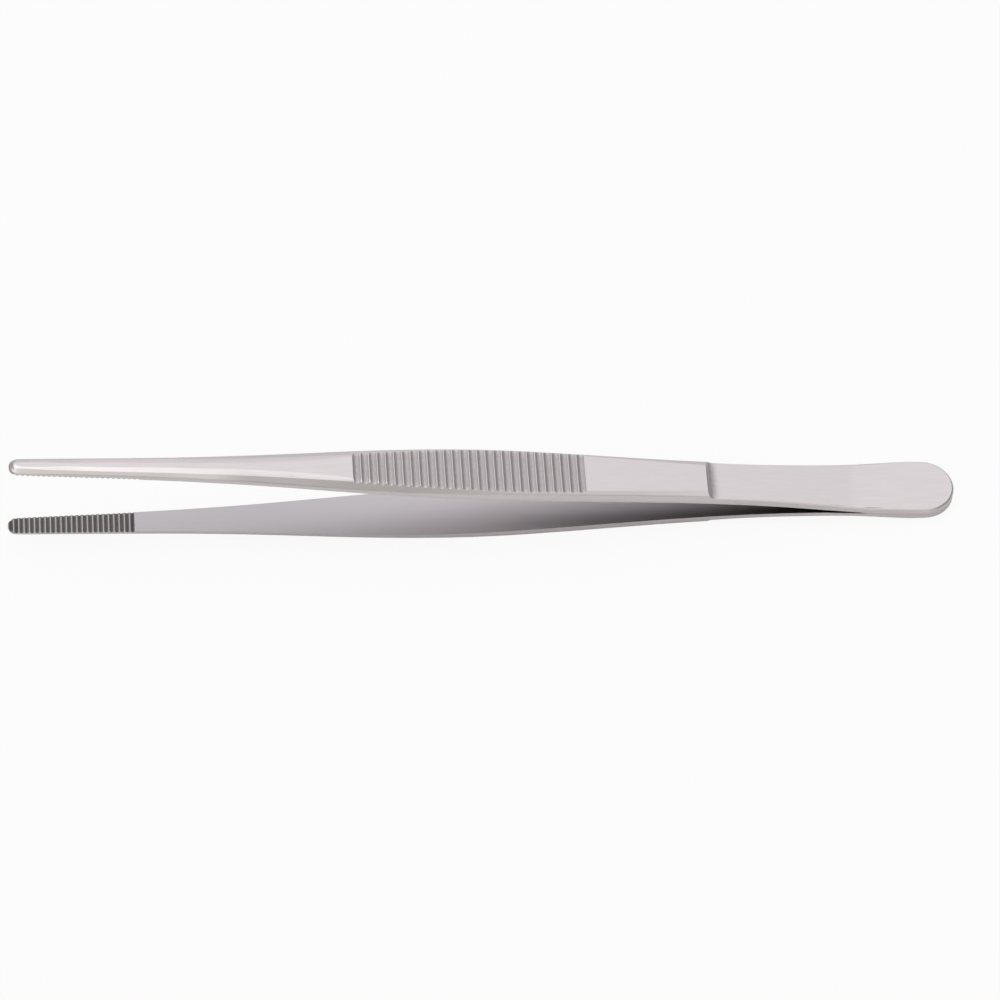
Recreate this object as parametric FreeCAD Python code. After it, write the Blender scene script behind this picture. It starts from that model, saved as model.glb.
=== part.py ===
# Thumb dressing forceps of the standard pattern, 145 mm long.
#
# The instrument is two stainless steel arms, each forged and ground as one piece, laid face to
# face and welded flush along the heel. From the end of the weld each arm is a thin flat spring
# plate that leans away from the middle. A hollow shoulder ends the plate, and the thick body
# begins. It has a flat back, walls that lean inwards a little, and a broad bevel between wall and
# back. Its grip carries cross grooves for the thumb and finger. In front of the grip the body
# bows gently inwards and tapers to a blunt round tip. The inner faces of the tips carry cross
# teeth, set half a pitch apart on the two arms, so that a tooth of one arm meets a gap of the
# other when the arms are pressed together.
#
# Arm frame: X runs from the heel end to the tip, Y across the width, and Z outwards from the
# plane in which the two arms meet. Row frame: the forceps lies as it rests on a table, on the
# heel's end and the grip of its lower arm, with its tips towards -X. The origin is at the table,
# below the middle of the bounding box.

import FreeCAD, Part
import math
import os
from FreeCAD import Vector

# Driving dimensions, in millimetres and degrees.
LENGTH = 145.0

# Outline of an arm seen from above: a round heel, a waist, a wide grip and a slim tip.
HEEL_RADIUS = 4.80
WAIST_X = 35.0
WAIST_HALF_WIDTH = 3.60
NECK_X = 20.0
NECK_HALF_WIDTH = 4.03
SWELL_X = 53.0
SWELL_HALF_WIDTH = 3.96
GRIP_X = 71.5
GRIP_HALF_WIDTH = 4.45
GRIP_FRONT_X = 88.0
GRIP_FRONT_HALF_WIDTH = 4.06
TAPER_X = 104.0
TAPER_HALF_WIDTH = 2.92
SLIM_X = 121.0
SLIM_HALF_WIDTH = 1.98
TIP_RADIUS = 1.40
TIP_TAPER = 1.7                 # half angle of the outline where the tip's round begins

# Inner face seen from the side: flat at the weld, leaning out, then bowing back.
WELD_LENGTH = 15.0
ROOT_RADIUS = 20.0
SPRING_ANGLE = 4.20
BOW_X = 68.0
BOW_RADIUS = 900.0
TIP_ANGLE = 2.0

# Thickness, measured square to the inner face.
PLATE_THICKNESS = 1.05
SHOULDER_X = 38.6
SHOULDER_THICKNESS = 1.82
BACK_END_X = 78.0
BACK_END_THICKNESS = 1.80
FRONT_END_X = 124.0
FRONT_END_THICKNESS = 1.26
TIP_THICKNESS = 0.95
SHOULDER_RADIUS = 1.30
BACK_BEND_RADIUS = 300.0
FRONT_BEND_RADIUS = 600.0

# Section of the body: station, height of the wall below the bevel, half the width of the outer
# face up to the bevel, and how much of that half width is crowned.
BODY_STATIONS = [
    (SHOULDER_X, 1.44, 2.46, 0.15),
    (57.0, 1.39, 3.38, 0.15),
    (72.0, 1.18, 3.70, 0.20),
    (88.0, 0.74, 2.95, 0.60),
    (103.0, 0.72, 1.95, 1.30),
    (119.0, 0.72, 1.36, 1.15),
    (133.0, 0.64, 1.08, 0.95),
    (LENGTH - TIP_RADIUS, 0.52, 0.70, 0.60),
]
CROWN_ANGLE = 17.0              # tilt of the crowned face where it meets the bevel
WALL_DRAFT = 12.0               # lean of the wall above its land
WALL_LAND = 0.45                # square part of the wall beside the inner face
WALL_FADE = 9.0                 # length behind the shoulder over which the lean grows
FADED_LAND = 1.25               # land where the lean starts, higher than the plate is thick
CORNER_RADIUS = 0.35            # round between wall and bevel
ROUND_SHARE = 0.8               # most of a wall or bevel that the round takes
PLATE_BEVEL_WIDTH = 0.28
PLATE_BEVEL_END = 0.12          # width of the plate's bevel where it meets the shoulder
PLATE_WALL = 0.87
PLATE_CROWN = 0.10
PLATE_LAND = 0.70

# Cross grooves of the grip.
GROOVE_COUNT = 28
GROOVE_START = 57.2
GROOVE_PITCH = 1.277
GROOVE_WIDTH = 1.16
GROOVE_DEPTH = 0.25

# Cross teeth inside the tips.
TOOTH_COUNT = 24
TOOTH_PITCH = 0.806
TOOTH_GAP_WIDTH = 0.64
TOOTH_GAP_DEPTH = 0.22
FIRST_GAP_FROM_TIP = 0.46

# Construction: how far shapes run past the metal, and how finely curves are followed.
OVERRUN = 1.2
GRIND_OVERRUN = 0.3
CROWN_OVERRUN = 0.012
TOOTH_OVERRUN = 0.04
CLEAR_OF_METAL = 3.0
SECTION_STEP = 6.0
SLOPE_REACH = 0.01
HALVINGS = 50


class Contour:
    """A line of straight and round stretches in the XZ plane, drawn from the heel to the tip."""

    def __init__(self, x, z, heading=0.0):
        self.x, self.z, self.heading = x, z, heading
        self.stretches = []

    def line_to_x(self, x):
        end = (x, self.z + (x - self.x) * math.tan(self.heading))
        self.stretches.append(((self.x, self.z), end, None, 0.0))
        self.x, self.z = end

    def turn(self, radius, angle):
        """An arc that starts along the heading. A positive angle turns outwards."""
        side = 1.0 if angle > 0 else -1.0
        centre = (self.x - side * radius * math.sin(self.heading),
                  self.z + side * radius * math.cos(self.heading))
        self.heading += angle
        end = (centre[0] + side * radius * math.sin(self.heading),
               centre[1] - side * radius * math.cos(self.heading))
        self.stretches.append(((self.x, self.z), end, centre, side * radius))
        self.x, self.z = end

    def height(self, x):
        """Z at a station, with the first and last stretches carried on as straight lines."""
        for start, end, centre, radius in self.stretches:
            if x <= end[0]:
                break
        if centre is None:
            slope = (end[1] - start[1]) / (end[0] - start[0])
            return start[1] + (x - start[0]) * slope
        drop = math.sqrt(radius ** 2 - (x - centre[0]) ** 2)
        return centre[1] - math.copysign(drop, radius)

    def angle(self, x):
        rise = self.height(x + SLOPE_REACH) - self.height(x - SLOPE_REACH)
        return math.atan2(rise, 2 * SLOPE_REACH)

    def edges(self):
        made = []
        for start, end, centre, radius in self.stretches:
            a, b = Vector(start[0], 0, start[1]), Vector(end[0], 0, end[1])
            if centre is None:
                made.append(Part.makeLine(a, b))
                continue
            middle = Vector(centre[0], 0, centre[1])
            outward = ((a + b) * 0.5 - middle).normalize()
            made.append(Part.Arc(a, middle + outward * abs(radius), b).toShape())
        return made


def inner_contour():
    """The face that looks at the other arm."""
    spring, tip = math.radians(SPRING_ANGLE), math.radians(TIP_ANGLE)
    face = Contour(-OVERRUN, 0.0)
    face.line_to_x(WELD_LENGTH)
    face.turn(ROOT_RADIUS, spring)
    face.line_to_x(BOW_X)
    face.turn(BOW_RADIUS, tip - spring)
    face.line_to_x(LENGTH + OVERRUN)
    return face


def outside_point(inner, x, thickness):
    """The point that lies the given thickness outside the inner face, square to it."""
    angle = inner.angle(x)
    return x - thickness * math.sin(angle), inner.height(x) + thickness * math.cos(angle)


def outer_contour(inner):
    """The face that looks outwards: plate, hollow shoulder, flat back, front and tip."""
    spring = math.radians(SPRING_ANGLE)
    corners = [
        outside_point(inner, SHOULDER_X, SHOULDER_THICKNESS),
        outside_point(inner, BACK_END_X, BACK_END_THICKNESS),
        outside_point(inner, FRONT_END_X, FRONT_END_THICKNESS),
        outside_point(inner, LENGTH, TIP_THICKNESS),
    ]
    back, front, tip = (math.atan2(b[1] - a[1], b[0] - a[0]) for a, b in zip(corners, corners[1:]))

    step = SHOULDER_THICKNESS - PLATE_THICKNESS
    rise = math.acos(1 - step / SHOULDER_RADIUS)
    run = SHOULDER_RADIUS * math.sin(rise)
    foot_x = corners[0][0] - run * math.cos(spring) + step * math.sin(spring)

    face = Contour(-OVERRUN, PLATE_THICKNESS)
    face.line_to_x(WELD_LENGTH)
    face.turn(ROOT_RADIUS - PLATE_THICKNESS, spring)
    face.line_to_x(foot_x)
    face.turn(SHOULDER_RADIUS, rise)
    face.heading = back
    for corner, radius, heading in ((corners[1], BACK_BEND_RADIUS, front),
                                    (corners[2], FRONT_BEND_RADIUS, tip)):
        turning = heading - face.heading
        face.line_to_x(corner[0] - radius * math.tan(abs(turning) / 2) * math.cos(face.heading))
        face.turn(radius, turning)
    face.line_to_x(LENGTH + OVERRUN)
    return face, foot_x, back


def smooth_curve(points, start_heading=None, end_heading=None):
    """A curve through points of the XY plane, listed with rising X."""
    curve = Part.BSplineCurve()
    places = [Vector(x, y, 0) for x, y in points]
    if start_heading is None:
        curve.interpolate(Points=places)
        return curve
    curve.interpolate(
        Points=places,
        InitialTangent=Vector(math.cos(start_heading), math.sin(start_heading), 0),
        FinalTangent=Vector(math.cos(end_heading), math.sin(end_heading), 0),
    )
    return curve


def curve_y(curve, x):
    """The Y of a smooth curve at a station."""
    low, high = curve.FirstParameter, curve.LastParameter
    for _ in range(HALVINGS):
        middle = (low + high) / 2
        if curve.value(middle).x < x:
            low = middle
        else:
            high = middle
    return curve.value((low + high) / 2).y


def outline_side():
    """One long side of the outline, from the heel's round to the tip's round."""
    points = [
        (HEEL_RADIUS, HEEL_RADIUS),
        (NECK_X, NECK_HALF_WIDTH),
        (WAIST_X, WAIST_HALF_WIDTH),
        (SWELL_X, SWELL_HALF_WIDTH),
        (GRIP_X, GRIP_HALF_WIDTH),
        (GRIP_FRONT_X, GRIP_FRONT_HALF_WIDTH),
        (TAPER_X, TAPER_HALF_WIDTH),
        (SLIM_X, SLIM_HALF_WIDTH),
        (LENGTH - TIP_RADIUS, TIP_RADIUS),
    ]
    return smooth_curve(points, 0.0, -math.radians(TIP_TAPER))


def mirrored(shape, normal):
    return shape.mirror(Vector(0, 0, 0), normal)


def plan_prism(side, height):
    """The outline, as thick as the construction needs."""
    edge = side.toShape()
    start, end = side.StartPoint, side.EndPoint
    heel = Part.Arc(Vector(start.x, -start.y, 0), Vector(0, 0, 0), start).toShape()
    tip = Part.Arc(end, Vector(LENGTH, 0, 0), Vector(end.x, -end.y, 0)).toShape()
    outline = Part.Wire([heel, edge, tip, mirrored(edge, Vector(0, 1, 0))])
    prism = Part.Face(outline).extrude(Vector(0, 0, 2 * height))
    prism.translate(Vector(0, 0, -height))
    return prism


def side_prism(inner, outer, width):
    """The side view of an arm, as wide as the construction needs."""
    start = Part.makeLine(Vector(inner.stretches[0][0][0], 0, inner.stretches[0][0][1]),
                          Vector(outer.stretches[0][0][0], 0, outer.stretches[0][0][1]))
    end = Part.makeLine(Vector(inner.x, 0, inner.z), Vector(outer.x, 0, outer.z))
    loop = Part.Wire(Part.sortEdges(inner.edges() + [end] + outer.edges() + [start])[0])
    prism = Part.Face(loop).extrude(Vector(0, 2 * width, 0))
    prism.translate(Vector(0, -width, 0))
    return prism


def edge_section(x, wall_y, base, top, land, wall_height, face_y, crown):
    """What is ground off one long edge at a station: beyond crown, bevel and leaning wall.

    The wall leans inwards above its land. The bevel runs from the wall up to the outer face, whose
    margin is crowned down to it. A small round joins wall and bevel. The crown starts a little
    above the face, so that the cut meets the face at a clean angle.
    """
    draft, tilt = math.radians(WALL_DRAFT), math.radians(CROWN_ANGLE)
    wall_down = Vector(0, math.sin(draft), -math.cos(draft))
    foot = Vector(x, wall_y, base + land)
    corner = foot - wall_down * ((wall_height - land) / math.cos(draft))
    crown_radius = crown / math.sin(tilt)

    def crown_point(angle, lift):
        return Vector(x, face_y - crown + crown_radius * math.sin(angle),
                      top + lift - crown_radius * (1 - math.cos(angle)))

    crown_start, crown_end = crown_point(0, CROWN_OVERRUN), crown_point(tilt, 0)
    crown_middle = crown_point(tilt / 2, CROWN_OVERRUN / 2)

    bevel_out = (corner - crown_end).normalize()
    turn = bevel_out.getAngle(wall_down)
    room = min((corner - crown_end).Length, (corner - foot).Length) * ROUND_SHARE
    reach = min(CORNER_RADIUS * math.tan(turn / 2), room)
    radius = reach / math.tan(turn / 2)
    round_start, round_end = corner - bevel_out * reach, corner + wall_down * reach
    centre = round_start + Vector(0, bevel_out.z, -bevel_out.y) * radius
    round_middle = centre + (corner - centre).normalize() * radius

    beside = foot + wall_down * GRIND_OVERRUN
    far_y = HEEL_RADIUS + CLEAR_OF_METAL
    roof = top + CLEAR_OF_METAL
    corners = [round_end, beside, Vector(x, far_y, beside.z), Vector(x, far_y, roof),
               Vector(x, crown_start.y, roof), crown_start]
    return Part.Wire([
        Part.Arc(crown_start, crown_middle, crown_end).toShape(),
        Part.makeLine(crown_end, round_start),
        Part.Arc(round_start, round_middle, round_end).toShape(),
    ] + [Part.makeLine(a, b) for a, b in zip(corners, corners[1:])])


def between(x, low_x, low, high_x, high):
    """A value that goes smoothly from low to high between two stations."""
    share = min(1.0, max(0.0, (x - low_x) / (high_x - low_x)))
    share = share * share * (3 - 2 * share)
    return low + (high - low) * share


def stations(start, end):
    count = math.ceil((end - start) / SECTION_STEP)
    return [start + (end - start) * n / count for n in range(count + 1)]


def turned_end(section, pivot_x, half_turn):
    """A section carried half way round an upright axis, for a round end of the outline."""
    axis = Vector(pivot_x, 0, 0)
    return Part.Face(section).revolve(axis, Vector(0, 0, 1), half_turn)


def body_edge_cutters(side, inner, back_height):
    """The leaning walls and bevels of the body, from behind the shoulder to round the tip."""
    tip_x = LENGTH - TIP_RADIUS
    fade_x = SHOULDER_X - WALL_FADE
    walls, faces, crowns = (smooth_curve([(row[0], row[n]) for row in BODY_STATIONS])
                           for n in (1, 2, 3))

    def section(x):
        land = between(x, fade_x, FADED_LAND, SHOULDER_X, WALL_LAND)
        on_body = max(x, SHOULDER_X)
        return edge_section(x, curve_y(side, x), inner.height(x), back_height(x), land,
                            curve_y(walls, on_body), curve_y(faces, on_body), curve_y(crowns, on_body))

    edge = Part.makeLoft([section(x) for x in stations(fade_x, tip_x)], True)
    nose = turned_end(section(tip_x), tip_x, -180)
    return [edge, mirrored(edge, Vector(0, 1, 0)), nose]


def plate_edge_cutters(side, inner, outer, foot_x):
    """The eased edge of the spring plate, right round the heel and up to the shoulder."""

    def section(x):
        wall_y = curve_y(side, x)
        face = between(x, foot_x - WALL_FADE, PLATE_BEVEL_WIDTH, foot_x, PLATE_BEVEL_END)
        return edge_section(x, wall_y, inner.height(x), outer.height(x), PLATE_LAND,
                            PLATE_WALL, wall_y - face, PLATE_CROWN)

    plate = Part.makeLoft([section(x) for x in stations(HEEL_RADIUS, foot_x)], True)
    heel = turned_end(section(HEEL_RADIUS), HEEL_RADIUS, 180)
    return [plate, mirrored(plate, Vector(0, 1, 0)), heel]


def groove_cutters(outer):
    """Round-bottomed cross grooves, sunk square to the outer face."""
    radius = (GROOVE_WIDTH ** 2 / 4 + GROOVE_DEPTH ** 2) / (2 * GROOVE_DEPTH)
    reach = HEEL_RADIUS + CLEAR_OF_METAL
    made = []
    for n in range(GROOVE_COUNT):
        x = GROOVE_START + (n + 0.5) * GROOVE_PITCH
        angle = outer.angle(x)
        lift = radius - GROOVE_DEPTH
        centre = Vector(x - lift * math.sin(angle), -reach, outer.height(x) + lift * math.cos(angle))
        made.append(Part.makeCylinder(radius, 2 * reach, centre, Vector(0, 1, 0)))
    return made


def tooth_gap_cutters(inner, shift):
    """V-shaped gaps across the inner face, which leave narrow flat-topped teeth."""
    reach = HEEL_RADIUS + CLEAR_OF_METAL
    mouth = TOOTH_GAP_WIDTH / 2 * (1 + TOOTH_OVERRUN / TOOTH_GAP_DEPTH)
    made = []
    for n in range(TOOTH_COUNT):
        x = LENGTH - FIRST_GAP_FROM_TIP - shift - n * TOOTH_PITCH
        angle = inner.angle(x)
        along = Vector(math.cos(angle), 0, math.sin(angle))
        inward = Vector(math.sin(angle), 0, -math.cos(angle))
        foot = Vector(x, -reach, inner.height(x))
        corners = [foot - inward * TOOTH_GAP_DEPTH,
                   foot + along * mouth + inward * TOOTH_OVERRUN,
                   foot + along * mouth + inward * OVERRUN,
                   foot - along * mouth + inward * OVERRUN,
                   foot - along * mouth + inward * TOOTH_OVERRUN]
        profile = Part.Face(Part.makePolygon(corners + corners[:1]))
        made.append(profile.extrude(Vector(0, 2 * reach, 0)))
    return made


def arm(tooth_shift):
    """One arm in the arm frame."""
    inner = inner_contour()
    outer, foot_x, back = outer_contour(inner)
    side = outline_side()
    shoulder = outside_point(inner, SHOULDER_X, SHOULDER_THICKNESS)

    def back_height(x):
        if x >= shoulder[0]:
            return outer.height(x)
        return shoulder[1] + (x - shoulder[0]) * math.tan(back)

    reach = HEEL_RADIUS + CLEAR_OF_METAL
    height = outer.z + inner.z + CLEAR_OF_METAL
    solid = side_prism(inner, outer, reach).common(plan_prism(side, height))
    for cutter in body_edge_cutters(side, inner, back_height):
        solid = solid.cut(cutter)
    for cutter in plate_edge_cutters(side, inner, outer, foot_x):
        solid = solid.cut(cutter)
    solid = solid.cut(Part.makeCompound(groove_cutters(outer)))
    solid = solid.cut(Part.makeCompound(tooth_gap_cutters(inner, tooth_shift)))
    return solid


def rest_angle(outer):
    """The lean of the middle plane when the lower arm lies on its heel's end and on its grip."""
    heel_x = PLATE_BEVEL_WIDTH + PLATE_CROWN
    angles = []
    for n in range(GROOVE_COUNT + 1):
        x = GROOVE_START + n * GROOVE_PITCH
        angles.append(math.atan2(outer.height(x) - PLATE_THICKNESS, x - heel_x))
    return math.degrees(max(angles))


def main():
    upper = arm(TOOTH_PITCH / 2)
    lower = mirrored(arm(0.0), Vector(0, 0, 1))
    lean = rest_angle(outer_contour(inner_contour())[0])
    for shape in (upper, lower):
        shape.rotate(Vector(0, 0, 0), Vector(0, 1, 0), -lean)
        shape.rotate(Vector(0, 0, 0), Vector(0, 0, 1), 180)
    box = Part.makeCompound([upper, lower]).optimalBoundingBox(False)
    os.makedirs("parts", exist_ok=True)
    for name, shape in (("upper_arm", upper), ("lower_arm", lower)):
        shape.translate(Vector(-box.Center.x, 0, -box.ZMin))
        solid, = shape.Solids
        solid.exportStep("parts/%s.step" % name)
        print(name, "volume", round(solid.Volume, 1), "valid", solid.isValid())


main()
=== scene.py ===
import math

import bpy
from mathutils import Matrix, Vector


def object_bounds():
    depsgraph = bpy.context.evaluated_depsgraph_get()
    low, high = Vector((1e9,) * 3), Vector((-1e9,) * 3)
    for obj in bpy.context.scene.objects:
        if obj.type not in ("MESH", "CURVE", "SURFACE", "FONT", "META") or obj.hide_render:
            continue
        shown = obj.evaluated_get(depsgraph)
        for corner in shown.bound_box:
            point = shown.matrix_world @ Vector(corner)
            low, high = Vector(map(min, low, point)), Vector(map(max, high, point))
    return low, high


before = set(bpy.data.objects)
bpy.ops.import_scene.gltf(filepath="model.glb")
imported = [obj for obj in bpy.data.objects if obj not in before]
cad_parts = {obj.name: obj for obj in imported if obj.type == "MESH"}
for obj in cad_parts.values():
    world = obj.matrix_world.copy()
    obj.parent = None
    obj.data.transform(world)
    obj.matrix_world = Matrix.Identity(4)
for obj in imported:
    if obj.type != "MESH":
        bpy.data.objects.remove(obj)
cad_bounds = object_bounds()

# Places and lengths are in metres. x runs from the tips to the heel, y from the edge nearest the
# camera to the back edge, and z up from the table.

# The camera, placed as in the photograph.
CAMERA_ELEVATION = math.radians(53.0)
CAMERA_AZIMUTH = math.radians(-3.5)     # a little towards the tips
CAMERA_DISTANCE = 1.0
SENSOR_MM = 36.0
IMAGE_PX = 1000
METRES_PER_PIXEL = 0.15246e-3           # at the middle of the forceps
OBJECT_CENTRE_PX = (482.0, 479.5)

# Steel. The tints multiply the steel's own colour, and most of them are painted shade.
STEEL_DARK = (0.740, 0.686, 0.702, 1.0)
STEEL_LIGHT = (0.766, 0.710, 0.726, 1.0)
# Inner faces: partly a duller ground finish, partly painted shade between the arms.
INNER_DULL_FINISH_AND_SHADE = (0.68, 0.694, 0.708, 1.0)
TOOTH_TINT = (0.86, 0.86, 0.82, 1.0)
# Painted shade in the gap between the arms.
GAP_PAINTED_SHADE = (0.22, 0.217, 0.205, 1.0)
# Painted shade in the grooves and the notches between the teeth.
HOLLOW_PAINTED_SHADE = (0.34, 0.34, 0.34, 1.0)
# Painted shade on the bevel beside the grip.
BEVEL_PAINTED_SHADE = (0.66, 0.66, 0.65, 1.0)
# Painted shade of the gap's narrow end, fading into a faint dark weld line.
GAP_END_SHADE_AND_WELD_LINE = (0.14, 0.13, 0.12, 1.0)
# Painted shade on the rounded ends of the tips.
TIP_END_PAINTED_SHADE = (0.62, 0.61, 0.61, 1.0)

# The satin finish: streaks along the arm and fine grain. Scales are per metre.
STREAK_SCALE = (60.0, 2600.0, 2600.0)
STREAK_DETAIL = 3.0
STREAK_SPAN = (0.3, 0.7)
STREAK_ROUGHNESS = (0.29, 0.33)
STREAK_HEIGHT = 0.4
GRAIN_SCALE = 5200.0
GRAIN_DETAIL = 2.0
GRAIN_HEIGHT = 0.6
BUMP_STRENGTH = 0.08
BUMP_DEPTH = 0.00001
INNER_EXTRA_ROUGHNESS = 0.08
HOLLOW_EXTRA_ROUGHNESS = 0.28

# The ramps below give the two ends of a value and, where these aren't 0 and 1, the results there.
# FACING is how far a surface looks at the other arm: 1 is straight at it and -1 straight away.
# OPENNESS is 1 where no metal is near. ALONG is x, and ACROSS is y.
INNER_FACING = (0.60, 0.95)
OUTER_FACING = (-0.3, 0.0, 1.0, 0.0)
# Share of the inner tint, partly a duller ground finish and partly painted shade between the arms,
# which is weaker in the middle of the arm.
INNER_ALONG_TO_MIDDLE = (-0.0400, -0.0100, 1.0, 0.8)
INNER_ALONG_FROM_MIDDLE = (0.0040, 0.0240, 0.8, 1.0)
# The jaw's teeth.
TOOTH_FACING = (0.10, 0.50)
JAW_ALONG = (-0.0541, -0.0535, 1.0, 0.0)
# Painted shade in the gap between the arms. Light reaches into it from the back edge, and more so
# to the heel, and takes some of the painted shade away.
GAP_REACH = 0.009
GAP_OPENNESS = (0.22, 0.90, 1.0, 0.0)
BACK_LIGHT_ACROSS = (-0.0034, -0.0008)
BACK_LIGHT_ALONG = (-0.0095, 0.0210, 0.50, 1.0)
FRONT_SHADE_ACROSS = (-0.0038, -0.0022, 0.45, 0.0)
FRONT_SHADE_ALONG = (-0.0080, 0.0020)
# Painted shade in the grip's grooves and in the notches between the teeth, and how much less of it
# there is on the flanks of the grooves and in the notches.
HOLLOW_REACH = 0.0016
HOLLOW_OPENNESS = (0.94, 0.985, 1.0, 0.0)
GROOVE_FLOOR_X = 0.1                    # x of the normal on a groove's floor
GROOVE_FLANK_LEAN = (0.25, 0.60, 0.0, 0.65)
NOTCH_EASING = 0.28
# Painted shade on the bevel beside the grip, on the camera's side, standing in for a dark
# reflection.
BEVEL_SIDEWAYS_FROM = (0.12, 0.42)
BEVEL_SIDEWAYS_TO = (0.70, 0.85, 1.0, 0.0)
BEVEL_ALONG_FROM = (-0.0430, -0.0338)
BEVEL_ALONG_TO = (-0.0155, 0.0165, 1.0, 0.0)
# Painted shade of the gap's narrow end, which starts wide and dark where the gap ends and fades
# towards the heel to a faint dark weld line.
SEAM_PLACE = (0.06462, 0.0, 0.001564)   # a point where the two heels meet
SEAM_NORMAL = (0.0675, 0.0, 0.9977)
SEAM_HALF_WIDTH_ALONG = (0.0540, 0.0592, 0.00030, 0.00007)
SEAM_EDGE = (-0.00004, 0.00004, 1.0, 0.0)
SEAM_FADE_ALONG = (0.0575, 0.0592, 1.0, 0.22)
# Painted shade on the rounded ends of the tips.
TIP_NORMAL_X = (-0.40, -0.10, 1.0, 0.0)
TIP_ALONG = (-0.0714, -0.0700, 1.0, 0.0)
OCCLUSION_SAMPLES = 8

# The light tent and the background, where a strength of 1 is white. The falls are ramps over the
# light's direction, and give the share of the light that is left.
WHITE = (1.0, 1.0, 1.0, 1.0)
WHITE_STRENGTH = 1.0
FRONT_COLOUR = (0.985, 1.0, 0.950, 1.0)
FRONT_TO_BACK = (-0.6, 0.6)
FRONT_TO_BACK_STRENGTH = (0.80, 0.92)
FALL_TO_TIPS = (-0.85, -0.30, 0.64, 1.0)
FALL_TO_HEEL = (0.30, 0.80, 1.0, 0.44)
FALL_TO_HORIZON = (0.10, 0.65, 0.70, 1.0)
OVERHEAD_DIRECTION = (-0.15, 0.15, 0.977)   # of the brightest part of the tent
OVERHEAD_SPREAD = (0.86, 1.0)
OVERHEAD_STRENGTH = 0.34
LAMP_PLACE = (-0.25, 0.17, 0.85)
LAMP_SIZE = (0.7, 0.5)
LAMP_WATTS = 0.6

FLOOR_SIZE = 6.0
FLOOR_WHITE = (0.88, 0.88, 0.88, 1.0)
FLOOR_SHADE_SHARE = 0.09                # how much of its real shading the camera sees


class Nodes:
    """A small helper for writing node trees."""

    def __init__(self, tree):
        self.tree = tree
        tree.nodes.clear()

    def add(self, kind, inputs=None, **settings):
        node = self.tree.nodes.new(kind)
        for name, value in settings.items():
            setattr(node, name, value)
        for name, value in (inputs or {}).items():
            socket = node.inputs[name]
            if isinstance(value, bpy.types.NodeSocket):
                self.tree.links.new(value, socket)
            else:
                socket.default_value = value
        return node

    def math(self, operation, a, b=0.0, clamp=False):
        node = self.add("ShaderNodeMath", {0: a, 1: b}, operation=operation, use_clamp=clamp)
        return node.outputs[0]

    def product(self, first, *others):
        for other in others:
            first = self.math("MULTIPLY", first, other)
        return first

    def dot(self, a, b):
        node = self.add("ShaderNodeVectorMath", {0: a, 1: b}, operation="DOT_PRODUCT")
        return node.outputs["Value"]

    def ramp(self, value, low, high, to_low=0.0, to_high=1.0, smooth=True):
        """Maps value from low..high to to_low..to_high."""
        inputs = {"Value": value, "From Min": low, "From Max": high,
                  "To Min": to_low, "To Max": to_high}
        kind = "SMOOTHSTEP" if smooth else "LINEAR"
        return self.add("ShaderNodeMapRange", inputs, interpolation_type=kind).outputs["Result"]

    def mix(self, factor, a, b, blend="MIX"):
        node = self.add("ShaderNodeMix", {0: factor, 6: a, 7: b},
                        data_type="RGBA", blend_type=blend)
        return node.outputs[2]

    def openness(self, reach, own_piece_only=False):
        """1 where no metal is within reach, and less where there is."""
        node = self.add("ShaderNodeAmbientOcclusion", {"Distance": reach},
                        samples=OCCLUSION_SAMPLES, only_local=own_piece_only)
        return node.outputs["AO"]


def gap_shade_mask(n, inner, along, across):
    # Painted shade on the inner faces where the arms come close, less where light reaches in from
    # the back edge and more near the front edge.
    back_light = n.product(n.ramp(across, *BACK_LIGHT_ACROSS),
                           n.ramp(along, *BACK_LIGHT_ALONG, smooth=False))
    closed = n.ramp(n.openness(GAP_REACH), *GAP_OPENNESS, smooth=False)
    gap_shade = n.product(inner, closed, n.math("SUBTRACT", 1.0, back_light))
    front_shade = n.product(n.ramp(across, *FRONT_SHADE_ACROSS), n.ramp(along, *FRONT_SHADE_ALONG))
    return n.math("MULTIPLY", gap_shade, n.math("ADD", 1.0, front_shade), clamp=True)


def hollow_shade_mask(n, normal, facing, tooth):
    # Painted shade where the grooves and notches are deep, less on the groove flanks.
    openness = n.openness(HOLLOW_REACH, own_piece_only=True)
    hollow_shade = n.ramp(openness, *HOLLOW_OPENNESS, smooth=False)
    lean = n.math("ABSOLUTE", n.math("SUBTRACT", normal["X"], GROOVE_FLOOR_X))
    groove_flank = n.product(n.ramp(lean, *GROOVE_FLANK_LEAN), n.ramp(facing, *OUTER_FACING))
    eased = n.math("ADD", groove_flank, n.product(tooth, NOTCH_EASING))
    return n.product(hollow_shade, n.math("SUBTRACT", 1.0, eased))


def bevel_shade_mask(n, normal, along):
    # Painted shade on bevel faces turned to the camera's side, along the grip.
    sideways = n.product(normal["Y"], -1.0)
    return n.product(n.ramp(sideways, *BEVEL_SIDEWAYS_FROM, smooth=False),
                     n.ramp(sideways, *BEVEL_SIDEWAYS_TO),
                     n.ramp(along, *BEVEL_ALONG_FROM), n.ramp(along, *BEVEL_ALONG_TO))


def gap_end_shade_and_weld_mask(n, place, along):
    # Painted shade along the line where the heels meet, wide where the gap ends, then a faint weld
    # line.
    from_seam = n.add("ShaderNodeVectorMath", {0: place, 1: SEAM_PLACE}, operation="SUBTRACT")
    off_seam = n.math("ABSOLUTE", n.dot(from_seam.outputs[0], SEAM_NORMAL))
    half_width = n.ramp(along, *SEAM_HALF_WIDTH_ALONG, smooth=False)
    past_edge = n.math("SUBTRACT", off_seam, half_width)
    return n.product(n.ramp(past_edge, *SEAM_EDGE), n.ramp(along, *SEAM_FADE_ALONG))


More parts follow.
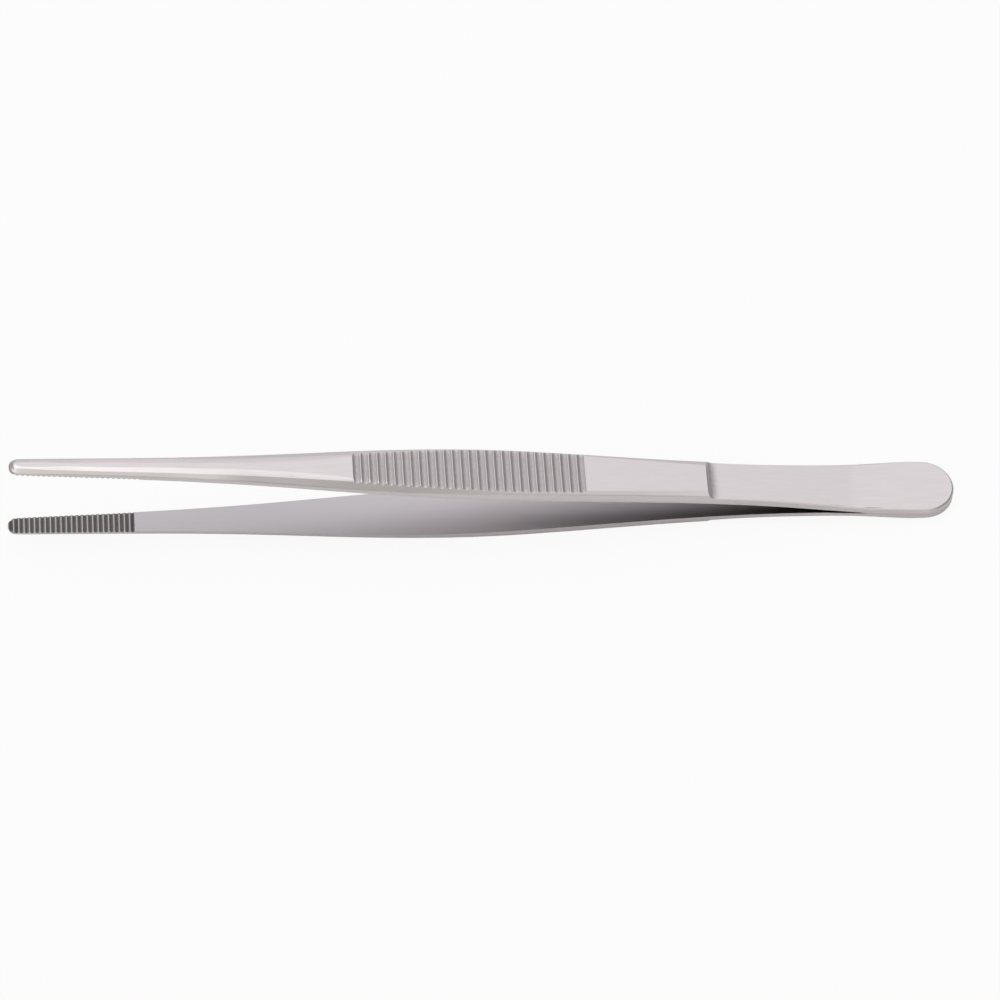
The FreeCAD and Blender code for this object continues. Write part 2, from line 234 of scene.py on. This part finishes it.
def satin_steel(name, inward):
    """Stainless steel: satin outside, ground duller inside and in the teeth and rougher in the
    grooves. Painted shade darkens the inner faces, the gap between the arms, the grooves and
    notches, the bevel beside the grip, the gap's end and the tips' ends.

    inward is the Z of the inner face's normal.
    """
    material = bpy.data.materials.new(name)
    material.use_nodes = True
    n = Nodes(material.node_tree)
    coordinates = n.add("ShaderNodeTexCoord").outputs
    place = coordinates["Object"]
    normal = n.add("ShaderNodeSeparateXYZ", {0: coordinates["Normal"]}).outputs
    facing = n.product(normal["Z"], inward)
    axes = n.add("ShaderNodeSeparateXYZ", {0: place}).outputs
    along, across = axes["X"], axes["Y"]

    inner = n.ramp(facing, *INNER_FACING)
    inner_share = n.math("MAXIMUM", n.ramp(along, *INNER_ALONG_TO_MIDDLE),
                         n.ramp(along, *INNER_ALONG_FROM_MIDDLE))
    tooth = n.product(n.ramp(along, *JAW_ALONG), n.ramp(facing, *TOOTH_FACING))
    hollow_shade = hollow_shade_mask(n, normal, facing, tooth)
    # Painted shade where the tips' ends face towards the tips.
    tip_end_shade = n.product(n.ramp(normal["X"], *TIP_NORMAL_X), n.ramp(along, *TIP_ALONG))
    # The steel's own tints and the painted shade, each with its mask.
    tints_and_painted_shade = ((n.product(inner, inner_share), INNER_DULL_FINISH_AND_SHADE),
             (tooth, TOOTH_TINT),
             (gap_shade_mask(n, inner, along, across), GAP_PAINTED_SHADE),
             (hollow_shade, HOLLOW_PAINTED_SHADE),
             (bevel_shade_mask(n, normal, along), BEVEL_PAINTED_SHADE),
             (gap_end_shade_and_weld_mask(n, place, along), GAP_END_SHADE_AND_WELD_LINE),
             (tip_end_shade, TIP_END_PAINTED_SHADE))

    brushed = n.add("ShaderNodeMapping", {"Vector": place, "Scale": STREAK_SCALE}).outputs[0]
    streaks = n.add("ShaderNodeTexNoise", {
        "Vector": brushed, "Scale": 1.0, "Detail": STREAK_DETAIL}).outputs["Fac"]
    grain = n.add("ShaderNodeTexNoise", {
        "Vector": place, "Scale": GRAIN_SCALE, "Detail": GRAIN_DETAIL}).outputs["Fac"]

    tone = n.mix(n.ramp(streaks, *STREAK_SPAN), STEEL_DARK, STEEL_LIGHT)
    for share, tint in tints_and_painted_shade:
        tone = n.mix(share, tone, tint, "MULTIPLY")
    rough = n.ramp(streaks, *STREAK_SPAN, *STREAK_ROUGHNESS)
    rough = n.math("ADD", rough, n.product(inner, INNER_EXTRA_ROUGHNESS))
    rough = n.math("ADD", rough, n.product(hollow_shade, HOLLOW_EXTRA_ROUGHNESS))
    height = n.math("ADD", n.product(grain, GRAIN_HEIGHT), n.product(streaks, STREAK_HEIGHT))
    bump = n.add("ShaderNodeBump", {
        "Height": height, "Strength": BUMP_STRENGTH, "Distance": BUMP_DEPTH}).outputs[0]
    shader = n.add("ShaderNodeBsdfPrincipled", {
        "Base Color": tone, "Metallic": 1.0, "Roughness": rough, "Normal": bump})
    n.add("ShaderNodeOutputMaterial", {"Surface": shader.outputs[0]})
    return material


def dress_arms():
    for name, inward in (("upper_arm", -1.0), ("lower_arm", 1.0)):
        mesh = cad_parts[name].data
        mesh.materials.clear()
        mesh.materials.append(satin_steel("steel_" + name, inward))


def white_sheet():
    """A matt white sheet. The camera sees it near white, with the object's shadow kept."""
    material = bpy.data.materials.new("white_sheet")
    material.use_nodes = True
    n = Nodes(material.node_tree)
    sheet = n.add("ShaderNodeBsdfDiffuse", {"Color": FLOOR_WHITE}).outputs[0]
    glow = n.add("ShaderNodeEmission", {"Color": WHITE, "Strength": WHITE_STRENGTH}).outputs[0]
    seen = n.add("ShaderNodeLightPath").outputs["Is Camera Ray"]
    share = n.product(seen, 1.0 - FLOOR_SHADE_SHARE)
    mixed = n.add("ShaderNodeMixShader", {0: share, 1: sheet, 2: glow}).outputs[0]
    n.add("ShaderNodeOutputMaterial", {"Surface": mixed})
    return material


def add_floor():
    bpy.ops.mesh.primitive_plane_add(size=FLOOR_SIZE, location=(0, 0, 0))
    floor = bpy.context.object
    floor.name = "floor"
    floor.data.materials.append(white_sheet())


def add_light_tent():
    """Soft light, weaker beyond the heel and the tips and near the horizon."""
    world = bpy.data.worlds.new("light_tent")
    bpy.context.scene.world = world
    world.use_nodes = True
    n = Nodes(world.node_tree)
    direction = n.add("ShaderNodeTexCoord").outputs["Generated"]
    axes = n.add("ShaderNodeSeparateXYZ", {0: direction}).outputs
    behind = n.ramp(axes["Y"], *FRONT_TO_BACK)
    colour = n.mix(behind, FRONT_COLOUR, WHITE)
    level = n.product(n.ramp(behind, 0.0, 1.0, *FRONT_TO_BACK_STRENGTH, smooth=False),
                      n.ramp(axes["X"], *FALL_TO_TIPS),
                      n.ramp(axes["X"], *FALL_TO_HEEL),
                      n.ramp(axes["Z"], *FALL_TO_HORIZON))
    overhead = n.ramp(n.dot(direction, OVERHEAD_DIRECTION), *OVERHEAD_SPREAD)
    level = n.math("ADD", level, n.product(overhead, OVERHEAD_STRENGTH))
    tent = n.add("ShaderNodeBackground", {"Color": colour, "Strength": level}).outputs[0]
    white = n.add("ShaderNodeBackground", {"Color": WHITE, "Strength": WHITE_STRENGTH}).outputs[0]
    seen = n.add("ShaderNodeLightPath").outputs["Is Camera Ray"]
    mixed = n.add("ShaderNodeMixShader", {0: seen, 1: tent, 2: white}).outputs[0]
    n.add("ShaderNodeOutputWorld", {"Surface": mixed})


def add_lamp():
    """A large soft lamp overhead that points at the middle of the forceps."""
    light = bpy.data.lights.new("overhead", "AREA")
    light.shape = "RECTANGLE"
    light.size, light.size_y = LAMP_SIZE
    light.energy = LAMP_WATTS
    lamp = bpy.data.objects.new("overhead", light)
    bpy.context.scene.collection.objects.link(lamp)
    lamp.location = LAMP_PLACE
    lamp.rotation_euler = (-Vector(LAMP_PLACE)).to_track_quat("-Z", "Y").to_euler()


def add_camera():
    """Looks at the forceps so that its middle falls where it does in the photograph."""
    low, high = (Vector(corner) for corner in cad_bounds)
    centre = (low + high) / 2
    camera = bpy.data.cameras.new("camera")
    view = bpy.data.objects.new("camera", camera)
    bpy.context.scene.collection.objects.link(view)
    bpy.context.scene.camera = view
    camera.sensor_width = SENSOR_MM
    camera.lens = SENSOR_MM * CAMERA_DISTANCE / (METRES_PER_PIXEL * IMAGE_PX)

    level = math.cos(CAMERA_ELEVATION)
    to_camera = Vector((math.sin(CAMERA_AZIMUTH) * level, -math.cos(CAMERA_AZIMUTH) * level,
                        math.sin(CAMERA_ELEVATION)))
    turn = (-to_camera).to_track_quat("-Z", "Y").to_matrix()
    right, up = turn.col[0], turn.col[1]
    aside = (IMAGE_PX / 2 - OBJECT_CENTRE_PX[0]) * METRES_PER_PIXEL
    below = (OBJECT_CENTRE_PX[1] - IMAGE_PX / 2) * METRES_PER_PIXEL
    target = centre + right * aside + up * below
    view.matrix_world = Matrix.Translation(target + to_camera * CAMERA_DISTANCE) @ turn.to_4x4()


dress_arms()
add_floor()
add_light_tent()
add_lamp()
add_camera()
bpy.context.scene.view_settings.view_transform = "Standard"
